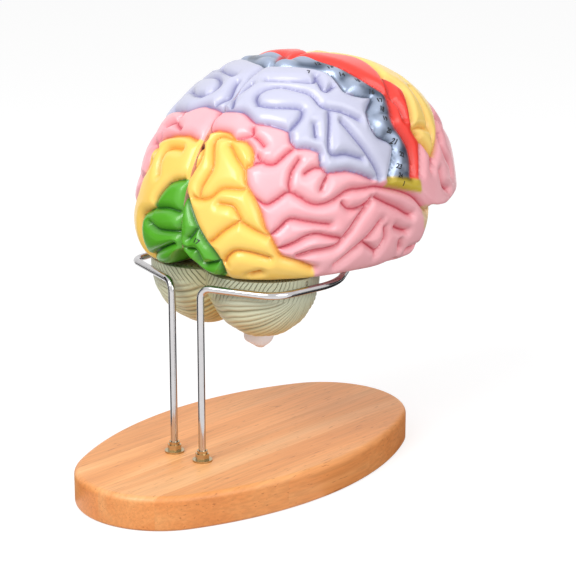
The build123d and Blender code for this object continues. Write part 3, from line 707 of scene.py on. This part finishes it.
def cerebellum_paint(name):
    """Pale sage above, cream and ochre below, with olive lines in the furrows and, at the top, dark lines of
    painted shade for the fine folia.
    """
    f = Finish(name, Roughness=0.42, Coat_Weight=0.12, Coat_Roughness=0.3)
    split = f.add("ShaderNodeSeparateXYZ", {"Vector": f.place()})
    rise = f.span((split, "Z"), 0.128, 0.178)
    tones = ((0.0, "E2D29C"), (0.35, "DAD7B4"), (0.7, "CFD2B8"), (1.0, "BFC2A8"))
    body = f.ramp(rise, *[(height, linear(tone)) for height, tone in tones])
    shade = f.ramp(f.noise(f.place(), 30.0), (0.3, grey(1)), (0.75, (0.9, 0.9, 0.88, 1)))
    toned = f.mix(0.9, body, shade, "MULTIPLY")
    inner = f.ramp(f.maths("ABSOLUTE", (split, "Y")), (0.0, grey(1)), (0.03, grey(0)))
    inner_tone = f.ramp(rise, (0.35, linear("CBB470")), (0.8, linear("BFBA90")))
    toned = f.mix(inner, toned, inner_tone)
    lines = f.ramp(f.attribute("furrow"), (0.1, grey(0)), (1.0, grey(0.75)))
    toned = f.mix(lines, toned, linear("8D8562"))
    # Fine folia of the fan as dark lines: painted shade of their narrow furrows, with a bump for relief
    uneven = f.maths("MULTIPLY_ADD", f.noise(f.place(), 70.0, 1.0), 4.0, f.attribute("fan"))
    sharp = f.maths("ABSOLUTE", f.maths("SINE", uneven))
    amount = f.maths("MULTIPLY", f.span(sharp, 0.55, 0.0, 0.0, 0.95), f.attribute("upper"))
    f.colour(f.mix(amount, toned, linear("6E6848")))
    f.bump(f.maths("MULTIPLY", amount, -1.0), 0.0009, 0.7)
    return f.material


# Hemispheres

def cortex_piece(name, side, chains, body, finish):
    """Outer skin of one half, with its paint weights and furrow depth as attributes; the furrow attribute
    also holds painted shade between the silver strip's swellings.
    """
    forward, up = map_square(CORTEX_STEPS)
    points, furrow = cortex(forward, up, side, chains, snap=True)
    points, furrow = points.reshape(-1, 3), furrow.ravel()
    faces = split_quads(quads_of(CORTEX_STEPS, CORTEX_STEPS), furrow, points)
    if side == LEFT:
        faces = faces[:, ::-1]
    piece = make_piece(name, points, faces, finish, body)
    # Painted shade: the strip's colour darkens between its swellings through the furrow attribute
    light = SWELLING_LIGHT * strip_swelling(forward.ravel(), up.ravel())
    between = np.clip(STRIP_SHADE - light, 0, 1)
    paint_attribute(piece, "furrow", np.maximum(furrow, strip_share(forward, up) * between))
    for region, _, _, right_outline, left_outline in CORTEX_REGIONS:
        outline = right_outline if side == RIGHT else left_outline
        at_edge = 0.5 if region == "parietal" else 1
        paint_attribute(piece, region, inside_amount(forward, up, outline, PAINT_BLEND, at_edge))
    return piece


# Midline faces: pocket for the brainstem and its channel, peg holes, grooves and callosal band
THALAMUS_X, THALAMUS_Z = 44.0, 198.0
POCKET_HALF_LENGTH, POCKET_HALF_HEIGHT, POCKET_DEPTH = 24.6, 17.6, 14.35
CHANNEL_X, CHANNEL_HALF_WIDTH = 38.0, 15.5
PEG_X = (33.0, 55.0)
PEG_RADIUS, PEG_HOLE_DEPTH = 4.08, 29.7
POCKET_WALL, CHANNEL_WALL, PEG_WALL = 1 / 12, 1.5, 0.8
# Painted shade in the pocket and peg holes, darker the deeper they sink
POCKET_SHADE = 0.6
GROOVE_HALF_WIDTH, GROOVE_DEPTH = 6.0, 3.2
FLAT_BORDER = 3.0
MIDLINE_RINGS = 120
MIDLINE_CENTRE = (66.0, 250.0)
MIDLINE_ARCS = [
    [(2, 250), (14, 280), (42, 298), (78, 303), (118, 292), (146, 262)],
    [(8, 232), (26, 252), (62, 262), (98, 256), (118, 238)],
    [(10, 222), (30, 240), (62, 249), (94, 244), (110, 230)],
    [(-60, 216), (-40, 224), (-18, 220), (-4, 210)],
    [(-48, 280), (-32, 262), (-22, 242), (-18, 222)],
    [(40, 302), (36, 322), (40, 336)],
    [(96, 300), (104, 318)],
    [(140, 270), (160, 286)],
    [(150, 250), (176, 256), (196, 250)],
    [(-20, 300), (0, 290), (10, 276)],
]


def step(distance, width):
    """0 to 1 in a straight rise of a width, half way where the distance is 0."""
    return np.clip(distance / width + 0.5, 0, 1)


def midline_plate(name, side, rim, body, finish):
    """Flat inner face of one half: rings shrink from the rim to a centre.

    Grooves sink by a pillow of the distance to their curves; the pocket and the peg holes
    sink by a steep step of the distance to their outlines.
    """
    share = np.linspace(1, 0, MIDLINE_RINGS + 1)[:-1, None, None]
    centre = np.array([MIDLINE_CENTRE[0], side * MIDLINE_GAP, MIDLINE_CENTRE[1]])
    points = np.concatenate([(centre + (rim[None] - centre) * share).reshape(-1, 3), centre[None]])
    x, z = points[:, 0], points[:, 2]
    curves = [rounded_line(arc, steps=8) for arc in MIDLINE_ARCS]
    chains = [np.insert(curve, 1, 0, axis=1) for curve in curves]
    near = nearest_on_chains(points * [1, 0, 1], chains)[0]
    groove = 1 - pillow_rise(near, GROOVE_HALF_WIDTH)
    ellipse = np.hypot((x - THALAMUS_X) / POCKET_HALF_LENGTH, (z - THALAMUS_Z) / POCKET_HALF_HEIGHT)
    channel = step(CHANNEL_HALF_WIDTH - np.abs(x - CHANNEL_X), CHANNEL_WALL)
    channel = channel * step(THALAMUS_Z - z, CHANNEL_WALL)
    pocket = np.maximum(step(1 - ellipse, POCKET_WALL), channel)
    depth = np.maximum(GROOVE_DEPTH * groove, POCKET_DEPTH * pocket)
    for peg_x in PEG_X:
        hole = step(PEG_RADIUS - np.hypot(x - peg_x, z - THALAMUS_Z), PEG_WALL)
        depth = np.maximum(depth, PEG_HOLE_DEPTH * hole)
    border = np.concatenate([np.tile(rim, (MIDLINE_RINGS, 1)), centre[None]])
    from_rim = np.linalg.norm(points - border, axis=1)
    points[:, 1] += side * depth * np.clip(from_rim / FLAT_BORDER, 0, 1)
    around = len(rim)
    faces = quads_of(MIDLINE_RINGS, around, closed=True)
    last = (MIDLINE_RINGS - 1) * around + np.arange(around)
    if side == LEFT:
        faces = faces[:, ::-1]
    middle = fan(last if side == LEFT else last[::-1], MIDLINE_RINGS * around)
    piece = make_piece(name, points, faces, finish, body, middle)
    # Painted shade: the pocket and peg holes take the deeper colour by their depth
    shade = POCKET_SHADE * np.clip(depth / POCKET_DEPTH, 0, 1)
    paint_attribute(piece, "furrow", np.maximum(groove, shade))
    return piece


def rim_of(points):
    """Points of the map's rim, once round, from the cortex net."""
    return np.concatenate([points[0, :-1], points[:-1, -1], points[-1, :0:-1], points[:0:-1, 0]])


cortex_finish = painted_cortex("cortex_paint")
midline_finish = painted_vinyl("midline_paint", "F4C4C0", "C98A86")
chains_by_side = {
    RIGHT: furrow_lines([SULCI, RIGHT_REAR_SULCI]),
    LEFT: furrow_lines([SULCI, LEFT_REAR_SULCI]),
}
for side, half in ((RIGHT, "right"), (LEFT, "left")):
    chains = chains_by_side[side]
    skin = cortex_piece(half + "_cortex", side, chains, half + "_half", cortex_finish)
    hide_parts(half + "_hemisphere")
    rim = rim_of(cortex(*map_square(MIDLINE_STEPS), side, chains)[0])
    plate = midline_plate(half + "_midline_face", side, rim, half + "_half", midline_finish)


# Numerals printed on the right half: text and its place on the map in hundredths

NUMERALS = [
    ("7", -18.5, 80.5), ("12", -7.0, 86.5), ("13", -5.0, 80.0), ("14", -4.0, 72.3), ("15", 0.0, 65.0),
    ("16", 4.0, 57.0), ("17", 4.8, 51.0), ("18", 3.2, 46.0), ("19", 2.6, 41.0), ("20", 3.2, 34.8),
    ("21", 4.8, 29.5), ("22", 6.6, 23.2), ("23", 4.0, 18.5), ("24", 4.5, 14.6), ("1", 5.5, 11.2),
    ("17", -94.5, 1.0),
]
NUMERAL_SIZE, NUMERAL_BOLD = 5.6, 0.12
NUMERAL_THICKNESS, NUMERAL_CLEARANCE = 0.24, 0.04
NUMERAL_TILT = math.radians(-24)
NUMERAL_EDGE = 0.7


def flat_numeral(label):
    """Corner points and triangles of a flat number, cut small enough to bend."""
    curve = bpy.data.curves.new("text", "FONT")
    curve.body = label
    curve.size = NUMERAL_SIZE
    curve.align_x, curve.align_y = "CENTER", "CENTER"
    curve.extrude = NUMERAL_THICKNESS / 2
    curve.offset = NUMERAL_BOLD
    flat = link("text", curve)
    mesh = bpy.data.meshes.new_from_object(flat.evaluated_get(bpy.context.evaluated_depsgraph_get()))
    net = bmesh.new()
    net.from_mesh(mesh)
    bmesh.ops.remove_doubles(net, verts=net.verts, dist=1e-4)
    bmesh.ops.triangulate(net, faces=net.faces)
    for _ in range(3):
        long = [edge for edge in net.edges if edge.calc_length() > NUMERAL_EDGE]
        bmesh.ops.subdivide_edges(net, edges=long, cuts=1)
        bmesh.ops.triangulate(net, faces=net.faces)
    net.verts.index_update()
    points = np.array([vert.co for vert in net.verts])
    triangles = np.array([[vert.index for vert in face.verts] for face in net.faces])
    net.free()
    bpy.data.objects.remove(flat)
    bpy.data.curves.remove(curve)
    bpy.data.meshes.remove(mesh)
    return points, triangles


def bent_onto(points, forward, up, side):
    """Flat points bent onto the folds at a place of the map.

    A point's place across and along is turned into a step on the map by the form's own
    slopes there, and its height is laid on along the normal.
    """
    reach = 0.001
    here = np.array([forward, forward, forward]) / 100 + [0, reach, 0]
    there = np.array([up, up, up]) / 100 + [0, 0, reach]
    origin, along, above = side_form(here, there)[0]
    slopes = np.stack([along - origin, above - origin], axis=-1) / reach
    first = slopes[:, 0] / np.linalg.norm(slopes[:, 0])
    second = slopes[:, 1] - first * (slopes[:, 1] @ first)
    second /= np.linalg.norm(second)
    cos, sin = math.cos(NUMERAL_TILT), math.sin(NUMERAL_TILT)
    baseline, upright = cos * first + sin * second, cos * second - sin * first
    moves = (points[:, :1] * baseline + points[:, 1:2] * upright) @ np.linalg.pinv(slopes).T
    at_forward, at_up = forward / 100 + moves[:, 0], up / 100 + moves[:, 1]
    skin = cortex(at_forward, at_up, side, chains_by_side[side])[0]
    outward = side_form(at_forward, at_up)[1] * [1, side, 1]
    return skin + outward * (points[:, 2:] + NUMERAL_THICKNESS / 2 + NUMERAL_CLEARANCE)


def numerals_piece(finish):
    """All printed numbers as one mesh."""
    places, faces, count = [], [], 0
    for label, forward, up in NUMERALS:
        points, triangles = flat_numeral(label)
        places.append(bent_onto(points, forward, up, RIGHT))
        faces.append(triangles + count)
        count += len(points)
    corners, triangles = np.concatenate(places), np.concatenate(faces)
    return make_piece("printed_numerals", corners, triangles, finish, "right_half")


numerals_piece(plain_vinyl("print_ink", "222227"))


# Board

BOARD_LENGTH, BOARD_WIDTH, BOARD_THICKNESS = 340.0, 193.0, 28.0
BOARD_END_RADIUS = 0.375 * BOARD_WIDTH
BOARD_TOP_ROUND, BOARD_BOTTOM_ROUND = 5.0, 2.5


def oval(inset, turn):
    """Points of the board's oval, drawn in by an inset: two end arcs and two side arcs.

    A place at an angle of its arc lies at the arc's centre plus the radius, less the inset,
    along the angle; the arcs meet where the line through both centres points.
    """
    half_length, half_width = BOARD_LENGTH / 2, BOARD_WIDTH / 2
    end_centre = half_length - BOARD_END_RADIUS
    chord_square = end_centre ** 2 + half_width ** 2 - BOARD_END_RADIUS ** 2
    side_radius = chord_square / 2 / (half_width - BOARD_END_RADIUS)
    side_centre = side_radius - half_width
    join = math.atan2(side_centre, end_centre)
    at_end = np.abs(np.sin(turn)) < math.sin(join)
    radius = np.where(at_end, BOARD_END_RADIUS, side_radius) - inset
    x = np.where(at_end, np.sign(np.cos(turn)) * end_centre, 0) + radius * np.cos(turn)
    y = np.where(at_end, 0, -np.sign(np.sin(turn)) * side_centre) + radius * np.sin(turn)
    return x, y


def board_piece(finish):
    """Oval board: its outline drawn in by the quarter round of its edges at each height."""
    height, inset = rounded_edges(0, BOARD_THICKNESS, BOARD_BOTTOM_ROUND, BOARD_TOP_ROUND)
    x, y = oval(inset, full_turn(360))
    piece = stacked_rings("wooden_board", x, y, height, finish, turned=True)
    edge = np.clip((BOARD_THICKNESS - height) / BOARD_TOP_ROUND, 0, 1)
    paint_attribute(piece, "edge", np.broadcast_to(edge, x.shape))
    for polygon in piece.data.polygons:
        if abs(polygon.normal.z) > 0.999:
            polygon.use_smooth = False
    return piece


board = board_piece(board_wood())
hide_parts("base_board")


# Metal rod, fasteners and plastic pegs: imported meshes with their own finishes

def dress(node, finish):
    """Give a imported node's mesh the finish."""
    packed = bpy.data.objects[node]
    packed.data.materials.clear()
    packed.data.materials.append(finish)


nickel = bright_metal("fastener_nickel", "BEAB86", 0.18)
peg_plastic = plain_vinyl("peg_plastic", "E8E6E0")
dress("stand_wire", bright_metal("rod_chrome", "C9C7C8", 0.12))
for node in ("rod_washers", "rod_nuts", "rod_collars"):
    dress(node, nickel)
for node in ("hemisphere_pegs", "cerebellum_peg"):
    dress(node, peg_plastic)


# Brainstem: sections as (height, x, half length, half width), and the block on top

STEM_SECTIONS = [
    (105.0, 13.5, 7.0, 8.5), (108.0, 14.0, 10.5, 12.0), (114.0, 15.5, 12.0, 13.5),
    (126.0, 19.0, 12.0, 13.5), (137.0, 23.5, 15.0, 18.0), (148.0, 28.0, 16.5, 20.5),
    (159.0, 31.0, 14.5, 17.5), (167.0, 33.0, 12.5, 13.5), (186.0, 38.0, 12.5, 12.5),
]
STEM_END = STEM_SECTIONS[0][0]
THALAMUS_HALF_LENGTH, THALAMUS_HALF_HEIGHT, THALAMUS_HALF_WIDTH = 24.0, 17.0, 14.0
THALAMUS_ROUND = 3.0


def stem_piece(finish):
    """Medulla, pons and midbrain: a curve through the section table, ribbed lengthwise by a
    wave of three and five crests that fades upwards; the cut end is sunk and uneven."""
    table = rounded_line(STEM_SECTIONS, steps=12)
    turn = full_turn(144)
    height, x, length, width = [column[:, None] for column in table.T]
    fade = np.clip((150 - height) / 40, 0.15, 1)
    rib = 1 + fade * (0.045 * np.cos(3 * turn + 0.6) + 0.03 * np.cos(5 * turn + height / 9))
    near_end = 1 - np.clip((height - STEM_END) / 6, 0, 1)
    z = height + 1.2 * near_end * np.cos(2 * turn + 1)
    points = np.stack([x + length * rib * np.cos(turn), width * rib * np.sin(turn), z], axis=-1)
    low, high = points[0].mean(axis=0), points[-1].mean(axis=0)
    low[2] += 1.5
    sunk = low + (points[0] - low) * 0.55 + [0, 0, 0.8]
    rings = np.concatenate([sunk[None], points])
    count, columns = rings.shape[:2]
    around = np.arange(columns)
    centre = count * columns
    caps = fan(around[::-1], centre) + fan((count - 1) * columns + around, centre + 1)
    faces = quads_of(count, columns, closed=True)[:, ::-1]
    corners = np.concatenate([rings.reshape(-1, 3), [low, high]])
    return make_piece("brainstem_form", corners, faces, finish, "stand", caps)


def thalamus_piece(finish):
    """Block on the midbrain: an oval across, its edges rounded by a quarter circle and its
    skin swollen by two broad waves."""
    half = THALAMUS_HALF_WIDTH
    across, inset = rounded_edges(-half, half, THALAMUS_ROUND, THALAMUS_ROUND)
    turn = full_turn(120)
    wave = 0.5 * np.sin(3 * turn + 1) * np.cos(across / 9)
    x = THALAMUS_X + (THALAMUS_HALF_LENGTH - inset + wave) * np.cos(turn)
    z = THALAMUS_Z + (THALAMUS_HALF_HEIGHT - inset + wave) * np.sin(turn)
    return stacked_rings("thalamus_block", x, across, z, finish)


stem_finish = plain_vinyl("brainstem_paint", "F5EEEE")
stem = stem_piece(stem_finish)
thalamus = thalamus_piece(stem_finish)
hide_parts("brainstem")


# Cerebellum

LOBE_X, LOBE_Y, LOBE_Z = -14.5, 31.0, 177.0
LOBE_LENGTH, LOBE_WIDTH, LOBE_HEIGHT = 45.0, 48.0, 52.0
LOBE_COVER = 1.2
FOLIA, FINE_FOLIA, FAN_FOLIA = 15, 4, 64
LOBULE_DEPTH, FOLIUM_DEPTH = 1.3, 0.9
FAN_HEIGHT, FAN_WAVE, FAN_EASE = 165.0, 5.0, 1.5
LOBE_ROWS, LOBE_COLUMNS = 151, 600


def cerebellum_piece(finish):
    """Two round lobes under folia that run from tip to tip; near the top they fan out.

    Sections across are ellipses about a common axis; a broad wave gives the lobules and a
    finer one the folia, each with round crests and sharp furrows. Above the widest part the
    angle about each lobe's upright axis is handed to the material, which draws fine folia as
    dark lines of painted shade with a bump.
    """
    lean = np.linspace(-math.pi / 2, math.pi / 2, LOBE_ROWS)
    y = ((LOBE_Y + LOBE_WIDTH) * np.sin(lean))[:, None]
    reach = np.sqrt(np.maximum(0, 1 - ((np.abs(y) - LOBE_Y) / LOBE_WIDTH) ** 2))
    turn = full_turn(LOBE_COLUMNS)
    x = LOBE_X + LOBE_LENGTH * reach * np.cos(turn)
    z = LOBE_Z + LOBE_HEIGHT * reach * np.sin(turn)
    bent = turn + 0.16 * np.sin(y / 23.0 + turn) + 0.006 * np.sin(y / 4.0 + 6 * turn)
    broad = np.abs(np.sin(FOLIA * bent / 2))
    fine = np.abs(np.sin(FOLIA * FINE_FOLIA * bent / 2))
    azimuth = np.arctan2(np.abs(y) - LOBE_Y, x - LOBE_X)
    azimuth = np.where(azimuth < -math.pi / 2, azimuth + 2 * math.pi, azimuth)
    rear = np.clip((LOBE_X - x) / LOBE_LENGTH, 0, 1)
    fan_phase = FAN_FOLIA * azimuth / 2 + (z - 160) * (0.1 + 0.5 * rear)
    upper = eased_step(z, FAN_HEIGHT + FAN_WAVE * np.sin(y / 11), FAN_EASE)
    strength = np.minimum(1, reach * 2)
    crest = fine + (0.5 - fine) * upper
    push = strength * (LOBULE_DEPTH * (1 - broad) ** 2 * (1 - upper) + FOLIUM_DEPTH * (1 - crest))
    x = x - push * np.cos(turn)
    z = np.minimum(z - push * np.sin(turn), underside(x, SIDE_WIDTH) - LOBE_COVER)
    rings = np.stack([x, np.broadcast_to(y, x.shape), z], axis=-1)[1:-1]
    tip = np.array([LOBE_X, LOBE_Y + LOBE_WIDTH, LOBE_Z])
    points = np.concatenate([rings.reshape(-1, 3), [tip * [1, -1, 1], tip]])
    around = np.arange(LOBE_COLUMNS)
    centre = len(rings) * LOBE_COLUMNS
    ends = fan(around[::-1], centre) + fan(centre - LOBE_COLUMNS + around, centre + 1)
    faces = quads_of(len(rings), LOBE_COLUMNS, closed=True)
    piece = make_piece("cerebellum_folia", points, faces, finish, "stand", ends)
    furrow = strength * (1 - upper) * (0.9 * (1 - crest) ** 2 + 0.5 * (1 - broad) ** 3)
    layers = {"furrow": np.clip(furrow, 0, 1), "fan": fan_phase, "upper": upper * strength}
    for layer, values in layers.items():
        paint_attribute(piece, layer, np.concatenate([values[1:-1].ravel(), [0, 0]]))
    return piece


cerebellum = cerebellum_piece(cerebellum_paint("cerebellum_paint"))
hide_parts("cerebellum")


# Studio

def camera_like_photo():
    """Camera from the fitted view: heading, pitch, distance and focal length in pixels."""
    heading, pitch = 0.837477, 0.268542
    distance, across, height = 1587.32, 34.136, 150.086
    focal_pixels, image_pixels = 1875.45, 576
    level = math.cos(pitch)
    right = Vector((math.cos(heading), -math.sin(heading), 0))
    forward = Vector((math.sin(heading) * level, math.cos(heading) * level, -math.sin(pitch)))
    upward = right.cross(forward)
    data = bpy.data.cameras.new("photo_camera")
    data.sensor_width = 36.0
    data.lens = focal_pixels / image_pixels * data.sensor_width
    data.clip_start, data.clip_end = 0.05, 20.0
    camera = link("photo_camera", data)
    place = (right * across + upward * height - forward * distance) * MM
    turned = Matrix((right, upward, -forward)).transposed().to_4x4()
    camera.matrix_world = Matrix.Translation(place) @ turned
    bpy.context.scene.camera = camera


def seen_directly(nodes):
    """1 for rays from the camera, a reflection or a pane, else 0."""
    path = nodes.add("ShaderNodeLightPath")
    total = nodes.maths("ADD", (path, "Is Camera Ray"), (path, "Is Glossy Ray"))
    clear, output = nodes.maths("ADD", total, (path, "Is Transmission Ray"))
    clear.use_clamp = True
    return clear, output


def staged_sheet(name, corners, material):
    """Four-cornered sheet of the studio."""
    mesh = bpy.data.meshes.new(name)
    mesh.from_pydata(corners, [], [(0, 1, 2, 3)])
    mesh.materials.append(material)
    sheet = link(name, mesh)
    return sheet


def studio_floor():
    """Pale floor: a little diffuse white for the shadow, and white light for the eye."""
    side = 6.0
    material = bpy.data.materials.new("floor_white")
    material.use_nodes = True
    nodes = Nodes(material.node_tree)
    diffuse = nodes.add("ShaderNodeBsdfDiffuse", {"Color": grey(0.42)})
    glow = nodes.add("ShaderNodeEmission", {"Color": grey(0.68), "Strength": seen_directly(nodes)})
    both = nodes.add("ShaderNodeAddShader", {0: (diffuse, 0), 1: (glow, 0)})
    nodes.add("ShaderNodeOutputMaterial", {"Surface": (both, 0)})
    staged_sheet("floor", [(-side, -side, 0), (side, -side, 0), (side, side, 0), (-side, side, 0)], material)


def studio_world():
    """White seen directly, a dimmer soft grey as light."""
    world = bpy.data.worlds.new("studio")
    bpy.context.scene.world = world
    world.use_nodes = True
    nodes = Nodes(world.node_tree)
    strength = nodes.span(seen_directly(nodes), 0, 1, 0.64, 1.0)
    background = nodes.add("ShaderNodeBackground", {"Color": grey(1), "Strength": strength})
    nodes.add("ShaderNodeOutputWorld", {"Surface": (background, 0)})


def soft_lamp(name, place, target, size, power):
    """Round area lamp at a place, turned to a target."""
    data = bpy.data.lights.new(name, "AREA")
    data.shape = "DISK"
    data.size = size
    data.energy = power
    lamp = link(name, data)
    lamp.location = place
    lamp.rotation_mode = "QUATERNION"
    lamp.rotation_quaternion = (Vector(target) - Vector(place)).to_track_quat("-Z", "Y")


def painted_reflection_sheet(name, corners):
    """Near-black sheet that only reflections see, a painted reflection for the metal's dark edges."""
    sheet = staged_sheet(name, corners, Finish(name, Base_Color=(0.01, 0.01, 0.012, 1)).material)
    sheet.visible_camera = sheet.visible_diffuse = False
    sheet.visible_shadow = sheet.visible_transmission = False


def painted_reflection_card(name, heading, width):
    """Upright dark sheet at a heading from the stand, a painted reflection."""
    heading = math.radians(heading)
    outward = Vector((math.cos(heading), math.sin(heading), 0))
    across = Vector((-math.sin(heading), math.cos(heading), 0)) * width / 2
    middle = Vector((-0.05, 0, 0.4)) + 1.6 * outward
    rise = Vector((0, 0, 0.7))
    signs = ((-1, -1), (1, -1), (1, 1), (-1, 1))
    painted_reflection_sheet(name, [middle + sideways * across + upwards * rise for sideways, upwards in signs])


def painted_reflection_wedge(name, start, end):
    """Dark sheet lying on the floor round the legs, between two headings, a painted reflection."""
    foot = Vector((-0.07, 0, 0.0005))
    corners = [
        foot + reach * Vector((math.cos(math.radians(heading)), math.sin(math.radians(heading)), 0))
        for reach, heading in ((0.05, start), (1.5, start), (1.5, end), (0.05, end))
    ]
    painted_reflection_sheet(name, corners)


camera_like_photo()
# Painted reflections: dark sheets that only the metal's reflections see
painted_reflection_card("card_left", 118, 1.2)
painted_reflection_card("card_right", -16, 1.5)
painted_reflection_wedge("wedge_left", 86, 150)
painted_reflection_wedge("wedge_right", -58, 14)
studio_floor()
studio_world()
soft_lamp("key", (-1.5, -0.1, 1.5), (0.03, 0, 0.2), 1.2, 26.0)
soft_lamp("fill", (-0.2, -1.8, 1.0), (0.03, 0, 0.2), 1.4, 14.0)
bpy.context.scene.view_settings.view_transform = "Standard"
